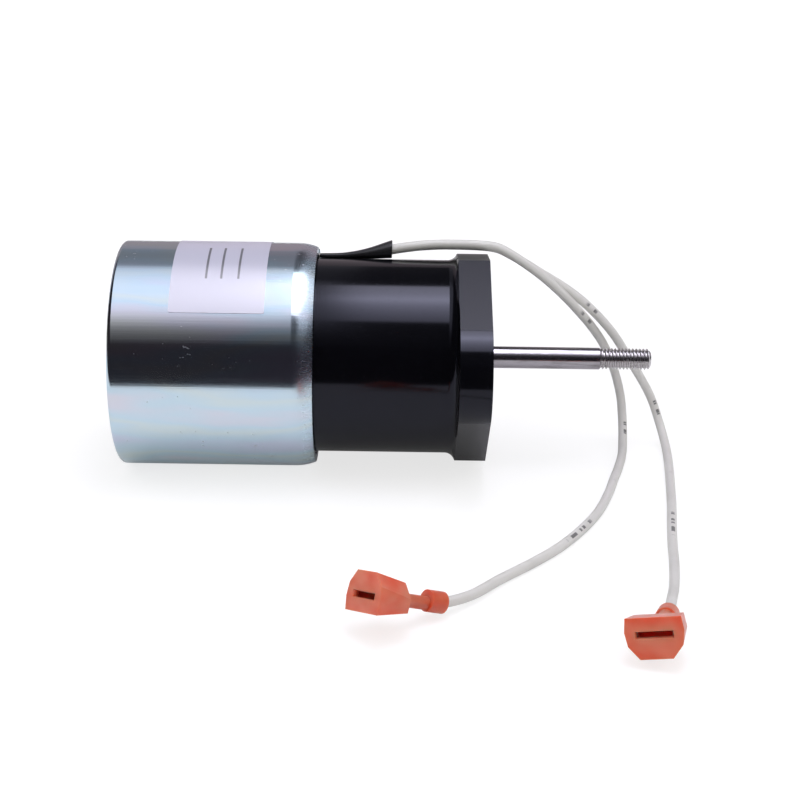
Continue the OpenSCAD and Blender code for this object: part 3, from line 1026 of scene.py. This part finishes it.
@dataclass
class LeadExit:
    """The grommet, the thin leads and the shrunk sleeve where the leads come out.

    A station of the sleeve gives its place along X, its distance from the axis and its half width and half
    height, in millimetres.
    """

    angle_deg: float = 70.0
    sides: int = 28
    wall: float = 0.25 * MM
    smooth_levels: int = 2
    stations: Sequence[tuple[float, float, float, float]] = (
        (-38.5, 22.66, 1.18, 0.60),
        (-36.5, 22.66, 1.20, 0.60),
        (-33.5, 22.70, 1.30, 0.65),
        (-31.5, 22.84, 1.56, 0.79),
        (-29.0, 23.08, 1.98, 1.03),
        (-26.75, 23.40, 2.40, 1.35),
        (-24.5, 23.87, 2.56, 1.70),
        (-22.6, 24.26, 2.70, 2.00),
        (-21.9, 24.40, 2.75, 2.10),
    )

    def build(self) -> None:
        """Dresses the solids and adds the sleeve."""
        dress("lead_grommet", RUBBER)
        dress("coil_leads", THIN_LEAD)
        self.add_sleeve()

    def add_sleeve(self) -> bpy.types.Object:
        """Adds the sleeve: oval rings bridged along the leads, with a wall.

        Returns:
            The sleeve's object.
        """
        tube = bmesh.new()
        for x, radius, half_wide, half_high in self.stations:
            ring = bmesh.ops.create_circle(tube, segments=self.sides, radius=1.0)["verts"]
            bmesh.ops.scale(tube, vec=(half_high * MM, half_wide * MM, 1.0), verts=ring)
            bmesh.ops.rotate(tube, matrix=Matrix.Rotation(QUARTER_TURN, 3, "Y"), verts=ring)
            bmesh.ops.translate(tube, vec=(x * MM, 0.0, radius * MM), verts=ring)
        bmesh.ops.bridge_loops(tube, edges=tube.edges[:])
        turn = Matrix.Rotation(math.radians(self.angle_deg) - QUARTER_TURN, 3, "X")
        bmesh.ops.rotate(tube, matrix=turn, verts=tube.verts)
        clean(tube)
        bmesh.ops.solidify(tube, geom=tube.faces[:], thickness=self.wall)
        piece = Piece("shrink_sleeve", Body.CASE, SHRINK, Slot.SHRINK_SLEEVE, ("heat_shrink",))
        made = piece.add(tube)
        smoothing = made.modifiers.new("smoothing", "SUBSURF")
        smoothing.levels = smoothing.render_levels = self.smooth_levels
        return made


@dataclass
class Terminal:
    """One insulated push-on terminal: its moulded cover and the contact inside."""

    key: str
    edge: float = 0.16 * MM
    edge_segments: int = 2
    edge_deg: float = 25.0

    def build(self) -> list[bpy.types.Object]:
        """Adds the cover with rounded edges and dresses the contact.

        Returns:
            The objects that go with the lead.
        """
        solid = f"terminal_housing_{self.key}"
        shape = softened(solid, self.edge, self.edge_segments, self.edge_deg)
        piece = Piece(f"terminal_cover_{self.key}", Body.CASE, NYLON, Slot.RED_NYLON, (solid,))
        cover = keep_flat(piece.add(shape))
        contact = f"terminal_contact_{self.key}"
        dress(contact, TINNED)
        return [cover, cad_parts[contact]]


# The leads' routes, in millimetres, as the solids have them
NECK_RADIUS = 22.0
EXIT_DEG = 70.0
SPREAD_DEG = 2.6
OVER_HOUSING = ((-26.5, 1.4), (-21.7, 2.4), (-15.0, 3.35), (-8.0, 3.65), (0.8, 3.3))
LIE = -24.3
LEAD_A = (
    (5, 7.05, 22.55), (11.3, 7.4, 18.3), (16.3, 8.2, 14), (20.75, 9.4, 9.4), (24.9, 11.2, 4.4),
    (28.4, 12.8, -0.8), (31.4, 14, -7.5), (33.3, 14.2, -14), (33.9, 12.2, LIE + 4.4), (33.6, 7.8, LIE + 1.1),
    (32.7, 1.5, LIE + 0.1), (31, -6, LIE), (29.1, -13, LIE), (26.7, -22, LIE), (23.3, -32, LIE),
    (18.9, -41, LIE), (13.6, -49.6, LIE), (7.5, -57.2, LIE), (0.6, -64.9, LIE + 0.1),
    (-5.4, -72.9, LIE + 0.6), (-11.15, -78.11, LIE + 1.53), (-13.58, -79.62, LIE + 2.65),
)
LEAD_B = (
    (5.2, 9.15, 21.85), (11.9, 9.9, 17.7), (17.6, 10.8, 14.1), (22.35, 11, 10.6), (26.4, 10.8, 6.9),
    (30.5, 10.9, 2.2), (34.4, 11.6, -3.8), (38, 12.9, -9.5), (40.7, 13.4, -14.5), (42.6, 11.9, LIE + 4.7),
    (43.6, 7.8, LIE + 1.1), (43.4, 1.5, LIE + 0.1), (42.4, -8, LIE), (41.3, -17, LIE), (40, -27, LIE),
    (38.5, -37, LIE), (37.1, -47, LIE), (35.9, -57, LIE), (34.5, -66, LIE), (32.9, -73, LIE + 0.3),
    (31.13, -80.2, LIE + 1.05), (30.24, -83.06, LIE + 1.71),
)


@dataclass
class Lead:
    """One ivory lead: a cord from the sleeve over the housing and along the table to its terminal."""

    key: str
    free_run: Sequence[Place]
    side: int
    length: float
    diameter: float = 2.1 * MM
    roundness: int = 5
    fineness: int = 8

    def route(self) -> list[Vector]:
        """Works out the route, over the housing and then along the free run.

        Returns:
            Its points, as the solid has them.
        """
        angle = math.radians(EXIT_DEG + self.side * SPREAD_DEG)
        over = [
            (x, (NECK_RADIUS + rise) * math.cos(angle), (NECK_RADIUS + rise) * math.sin(angle))
            for x, rise in OVER_HOUSING
        ]
        return [Vector(point) * MM for point in [*over, *self.free_run]]

    def centreline(self) -> list[Vector]:
        """Draws a smooth line through the route, as a Catmull-Rom spline.

        Returns:
            Its points, equally many in each stretch of the route.
        """
        points = self.route()
        ends = [2 * points[0] - points[1], *points, 2 * points[-1] - points[-2]]
        line: list[Vector] = []
        for before, start, end, after in zip(ends, ends[1:], ends[2:], ends[3:]):
            for part in range(self.fineness):
                t = part / self.fineness
                line.append(
                    0.5
                    * (
                        2 * start
                        + (end - before) * t
                        + (2 * before - 5 * start + 4 * end - after) * t**2
                        + (3 * start - before - 3 * end + after) * t**3
                    )
                )
        line.append(points[-1])
        return line

    def build(self, carried: list[bpy.types.Object]) -> bpy.types.Object:
        """Args:
            carried: The terminal's objects; not used.

        Returns:
            The lead's object.
        """
        line = self.centreline()
        curve = bpy.data.curves.new(f"lead_{self.key}_line", "CURVE")
        curve.dimensions = "3D"
        curve.bevel_depth = self.diameter / 2
        curve.bevel_resolution = self.roundness
        curve.use_fill_caps = True
        spline = curve.splines.new("POLY")
        spline.points.add(len(line) - 1)
        for point, place in zip(spline.points, line):
            point.co = (*place, 1.0)
        guide = bpy.data.objects.new(curve.name, curve)
        tube = bpy.data.meshes.new_from_object(guide)
        tube.name = f"lead_{self.key}"
        bpy.data.objects.remove(guide)
        bpy.data.curves.remove(curve)
        solid = f"lead_wire_{self.key}"
        piece = Piece(tube.name, Body.CASE, IVORY, Slot.IVORY_LEAD, (solid,), sharp_deg=60.0)
        return piece.add_mesh(tube)


@dataclass
class Plunger:
    """The moving rod with its thread, the plunger behind it and the return spring."""

    pitch: float = 0.8 * MM
    thread_start: float = 26.3 * MM
    crest_radius: float = 2.45 * MM
    root_radius: float = 1.97 * MM
    crest_flat: float = 0.05 * MM
    ridge_foot: float = 0.36 * MM
    ridge_sink: float = 0.04 * MM
    ridge_short: float = 0.5
    tip_chamfer: float = 0.6 * MM
    groove: Span = (-12.0 * MM, -11.2 * MM)
    groove_depth: float = 0.5 * MM
    rod_steps: int = 64
    turn_steps: int = 36
    spring_mean: float = 11.5 * MM
    spring_wire: float = 2.0 * MM
    wire_sides: int = 14
    spring_back: float = -44.0 * MM
    spring_front: float = -14.5 * MM
    spring_turns: int = 6
    travel: float = 16.0 * MM
    inside: dict[str, Finish] = field(
        default_factory=lambda: {
            "plunger": IRON,
            "cross_pin": SPRING,
            "spring_seat": ZINC_SMALL,
            "seat_clip": SPRING,
        }
    )

    def build(self) -> None:
        """Adds the rod and the spring and dresses the solids."""
        self.add_rod()
        self.add_spring()
        for node, finish in self.inside.items():
            dress(node, finish)

    def add_rod(self) -> bpy.types.Object:
        """Adds the turned rod with its thread as a ridge round the root.

        Returns:
            The rod's object.
        """
        low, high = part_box("plunger_rod")
        radius = (high.z - low.z) / 2
        run_out = radius - self.root_radius
        rod = bmesh.new()
        profile = [
            (low.x, 0.0),
            (low.x, radius),
            (self.groove[0], radius),
            (self.groove[0], radius - self.groove_depth),
            (self.groove[1], radius - self.groove_depth),
            (self.groove[1], radius),
            (self.thread_start - run_out, radius),
            (self.thread_start, self.root_radius),
            (high.x - self.tip_chamfer / 2, self.root_radius),
            (high.x, self.root_radius - self.tip_chamfer / 2),
            (high.x, 0.0),
        ]
        revolve(rod, profile, self.rod_steps)
        self.add_thread(rod, high.x)
        clean(rod)
        solids = ("plunger_rod",)
        return Piece("rod_threaded", Body.SLIDER, STEEL, Slot.GROUND_STEEL, solids, sharp_deg=24.0).add(rod)

    def add_thread(self, rod: bmesh.types.BMesh, tip: float) -> None:
        """Adds the thread's ridge, which starts inside the rod and fades at the tip's chamfer.

        Args:
            rod: The bmesh of the rod.
            tip: The rod's end along X.
        """
        start = self.thread_start - self.pitch
        turns = (tip - start) / self.pitch - self.ridge_short
        foot = self.root_radius - self.ridge_sink
        section = [
            Vector((start - self.ridge_foot, 0.0, foot)),
            Vector((start - self.crest_flat, 0.0, self.crest_radius)),
            Vector((start + self.crest_flat, 0.0, self.crest_radius)),
            Vector((start + self.ridge_foot, 0.0, foot)),
        ]
        first = chain(rod, section, closed=True)
        rod.faces.new(verts_of(first))
        last = wind(rod, first, turns, self.pitch, self.turn_steps)
        bmesh.ops.contextual_create(rod, geom=verts_of(last))
        for vert in rod.verts:
            reach = math.hypot(vert.co.y, vert.co.z)
            limit = self.crest_radius - max(0.0, vert.co.x - (tip - self.tip_chamfer))
            if vert.co.x > self.thread_start and reach > limit:
                vert.co.y *= limit / reach
                vert.co.z *= limit / reach

    def add_spring(self) -> bpy.types.Object:
        """Adds the coil spring, closed at both ends.

        Returns:
            The spring's object.
        """
        half = self.spring_wire / 2
        span = self.spring_front - self.spring_back - self.spring_wire
        open_turns = self.spring_turns - 2
        open_pitch = (span - 2 * self.spring_wire) / open_turns
        coil = bmesh.new()
        ring = bmesh.ops.create_circle(coil, segments=self.wire_sides, radius=half, cap_ends=True)["verts"]
        bmesh.ops.rotate(coil, matrix=Matrix.Rotation(QUARTER_TURN, 3, "X"), verts=ring)
        bmesh.ops.translate(coil, vec=(self.spring_back + half, 0.0, self.spring_mean), verts=ring)
        last = coil.verts[:] + coil.edges[:]
        for turns, pitch in ((1, self.spring_wire), (open_turns, open_pitch), (1, self.spring_wire)):
            last = wind(coil, last, turns, pitch, self.turn_steps)
        bmesh.ops.contextual_create(coil, geom=verts_of(last))
        bmesh.ops.recalc_face_normals(coil, faces=coil.faces)
        solids = ("return_spring",)
        piece = Piece("return_coil", Body.CASE, SPRING, Slot.SPRING_STEEL, solids, sharp_deg=60.0)
        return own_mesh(piece.add(coil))


@dataclass
class Camera:
    """The camera at the photograph's place."""

    target: Place = (-19.62 * MM, -3.46 * MM, -9.52 * MM)
    distance: float = 366.3 * MM
    elevation_deg: float = 20.0
    roll_deg: float = 0.84
    lens: float = 72.0
    sensor: float = 36.0
    clip: Span = (0.01, 50.0)

    def build(self) -> bpy.types.Object:
        """Adds the camera and makes it the scene's own.

        Returns:
            The camera's object.
        """
        lens = bpy.data.cameras.new("photo_camera")
        lens.lens = self.lens
        lens.sensor_width = self.sensor
        lens.clip_start, lens.clip_end = self.clip
        made = bpy.data.objects.new(lens.name, lens)
        bpy.context.scene.collection.objects.link(made)
        elevation = math.radians(self.elevation_deg)
        back = Vector((0.0, -math.cos(elevation), math.sin(elevation)))
        turn = back.to_track_quat("Z", "Y").to_matrix() @ Matrix.Rotation(math.radians(self.roll_deg), 3, "Z")
        made.matrix_world = Matrix.Translation(Vector(self.target) + back * self.distance) @ turn.to_4x4()
        bpy.context.scene.camera = made
        return made


@dataclass
class Studio:
    """A white table under an overhead softbox, brightest in its middle, and a ceiling in front of it."""

    table: float = -25.4 * MM
    reach: float = 4.0
    table_edge: float = -0.114
    table_white: float = 0.78
    seen_white: float = 0.34
    lift_near: float = 0.74
    lift_far: float = 1.0
    lift_radius: float = 0.45
    mirrored: float = 0.10
    softbox_height: float = 0.60
    softbox_x: Span = (-0.40, 0.40)
    softbox_y: Span = (-1.10, 1.00)
    softbox_tone: Colour = (0.97, 0.96, 1.10)
    core_x: Span = (-0.050, 0.10)
    core_soft: float = 0.012
    core_glow: Sequence[Span] = (
        (-1.10, 0.04),
        (-0.385, 0.06),
        (-0.368, 2.2),
        (-0.306, 2.6),
        (-0.212, 3.7),
        (-0.123, 5.2),
        (-0.036, 7.8),
        (0.056, 5.4),
        (0.150, 4.2),
        (0.176, 4.0),
        (0.194, 0.06),
        (1.00, 0.05),
    )
    side_glow: Sequence[Span] = (
        (-1.10, 0.06),
        (-0.815, 0.12),
        (-0.658, 0.22),
        (-0.532, 0.42),
        (-0.427, 0.68),
        (-0.335, 0.90),
        (-0.251, 1.00),
        (-0.098, 1.06),
        (-0.022, 1.04),
        (0.058, 0.96),
        (0.146, 0.84),
        (0.240, 0.68),
        (0.290, 0.24),
        (0.572, 0.20),
        (1.00, 0.24),
    )
    ceiling_size: float = 8.0
    ceiling_place: Place = (0.0, -2.5, 3.0)
    ceiling_radiance: float = 0.8
    wall_place: float = 2.4
    wall_height: float = 2.1
    wall_tone: Colour = (0.33, 0.28, 0.31)
    room_tone: Colour = (0.022, 0.019, 0.024)
    room_fill: Colour = (0.46, 0.46, 0.44)
    seen_past: Colour = (1.0, 1.0, 1.0)

    def build(self) -> None:
        """Adds the table, the wall behind it, the lights and the world."""
        bpy.context.scene.view_settings.view_transform = "Standard"
        white, across = self.table_paint(), (-self.reach, self.reach)
        self.add_sheet("table_sheet", across, (self.table_edge, self.wall_place), self.table, white)
        front = self.add_sheet("table_front", across, (-self.reach, self.table_edge), self.table, white)
        front.visible_glossy = False
        wall = self.add_sheet("far_wall", across, (0.0, self.wall_height), self.table, self.wall_paint())
        upright = Matrix.Rotation(QUARTER_TURN, 4, "X")
        wall.matrix_world = Matrix.Translation((0.0, self.wall_place, 0.0)) @ upright
        glow = self.softbox_paint()
        softbox = self.add_sheet("softbox", self.softbox_x, self.softbox_y, self.softbox_height, glow)
        softbox.visible_camera = softbox.visible_shadow = False
        self.hang_ceiling()
        self.light_room()

    def table_paint(self) -> bpy.types.Material:
        """Makes the white of the table, lifted where it is seen and still taking shadows.

        Returns:
            The material.
        """
        shader = Shader(bpy.data.materials.new("table_white"))
        x, y, _ = shader.axes()
        camera, glossy, through = shader.rays(Ray.CAMERA, Ray.GLOSSY, Ray.TRANSMISSION)
        far = (x * x + y * y).step(0.0, self.lift_radius**2)
        seen = camera | (glossy | through) * self.mirrored
        lift = (self.lift_near + far * (self.lift_far - self.lift_near)) * seen
        white = shader.mix(camera, (self.table_white,) * 3, (self.seen_white,) * 3)
        diffuse = shader.node("ShaderNodeBsdfDiffuse", {}, {"Color": white})
        glow = shader.node("ShaderNodeEmission", {}, {"Strength": lift})
        return shader.end(shader.node("ShaderNodeAddShader", {}, {0: diffuse.outputs[0], 1: glow.outputs[0]}))

    def wall_paint(self) -> bpy.types.Material:
        """Makes the wall: white to the camera and a dim tone in reflections.

        Returns:
            The material.
        """
        shader = Shader(bpy.data.materials.new("wall_tone"))
        (camera,) = shader.rays(Ray.CAMERA)
        tone = shader.mix(camera, self.wall_tone, self.seen_past)
        return shader.end(shader.node("ShaderNodeEmission", {}, {"Color": tone}))

    def softbox_paint(self) -> bpy.types.Material:
        """Makes the softbox's glow: bright in a core over the housing and dimmer to both sides.

        Returns:
            The material.
        """
        shader = Shader(bpy.data.materials.new("softbox_glow"))
        x, y, _ = shader.axes()
        core = x.band(*self.core_x, self.core_soft)
        bright, dim = (self.profile(shader, y, levels) for levels in (self.core_glow, self.side_glow))
        glow = {"Color": self.softbox_tone, "Strength": core * bright + (1.0 - core) * dim}
        return shader.end(shader.node("ShaderNodeEmission", {}, glow))

    def profile(self, shader: Shader, y: Value, levels: Sequence[Span]) -> Value:
        """Gives a glow that changes from front to back.

        Args:
            shader: The softbox's shader.
            y: The place from front to back.
            levels: Places along Y and the glow at each, where 1 is white.

        Returns:
            The glow at that place.
        """
        front, back = self.softbox_y
        peak = max(level for _, level in levels)
        stops = [((place - front) / (back - front), (level / peak,) * 3) for place, level in levels]
        return Value(shader, shader.ramp((y - front) * (1.0 / (back - front)), stops)) * peak

    def add_sheet(
        self, name: str, x: Span, y: Span, height: float, material: bpy.types.Material
    ) -> bpy.types.Object:
        """Adds a flat sheet of the stage.

        Args:
            name: Its name.
            x: Its ends along X.
            y: Its ends along Y.
            height: Its height.
            material: What it is painted with.

        Returns:
            The sheet's object.
        """
        shape = flat_sheet(x[1] - x[0], y[1] - y[0])
        bmesh.ops.translate(shape, vec=(sum(x) / 2, sum(y) / 2, height), verts=shape.verts)
        mesh = bpy.data.meshes.new(name)
        shape.to_mesh(mesh)
        shape.free()
        mesh.materials.append(material)
        made = bpy.data.objects.new(name, mesh)
        bpy.context.scene.collection.objects.link(made)
        return made

    def hang_ceiling(self) -> None:
        """Hangs an even square light over the stage, which neither the camera nor reflections show."""
        lamp = bpy.data.lights.new("ceiling", "AREA")
        lamp.size = self.ceiling_size
        lamp.energy = self.ceiling_radiance * math.pi * self.ceiling_size**2
        made = bpy.data.objects.new(lamp.name, lamp)
        made.location = self.ceiling_place
        made.visible_camera = made.visible_glossy = False
        bpy.context.scene.collection.objects.link(made)

    def light_room(self) -> None:
        """Makes the room: dark in reflections, a soft fill on matt faces and white past the stage."""
        shader = Shader(bpy.data.worlds.new("studio_room"))
        diffuse, camera = shader.rays(Ray.DIFFUSE, Ray.CAMERA)
        filled = shader.mix(diffuse, self.room_tone, self.room_fill)
        tone = shader.mix(camera, filled, self.seen_past)
        background = shader.node("ShaderNodeBackground", {}, {"Color": tone})
        bpy.context.scene.world = shader.end(background, "ShaderNodeOutputWorld")


def main() -> None:
    """Builds the camera, the leads, the body and the studio, in that order."""
    logging.basicConfig(level=logging.INFO, format="%(name)s: %(message)s")
    Camera().build()
    Lead("a", LEAD_A, side=+1, length=194.7 * MM).build(Terminal("a").build())
    Lead("b", LEAD_B, side=-1, length=188.0 * MM).build(Terminal("b").build())
    for assembly in (Can(), Housing(), LeadExit(), Plunger(), Studio()):
        assembly.build()


if __name__ == "__main__":
    main()
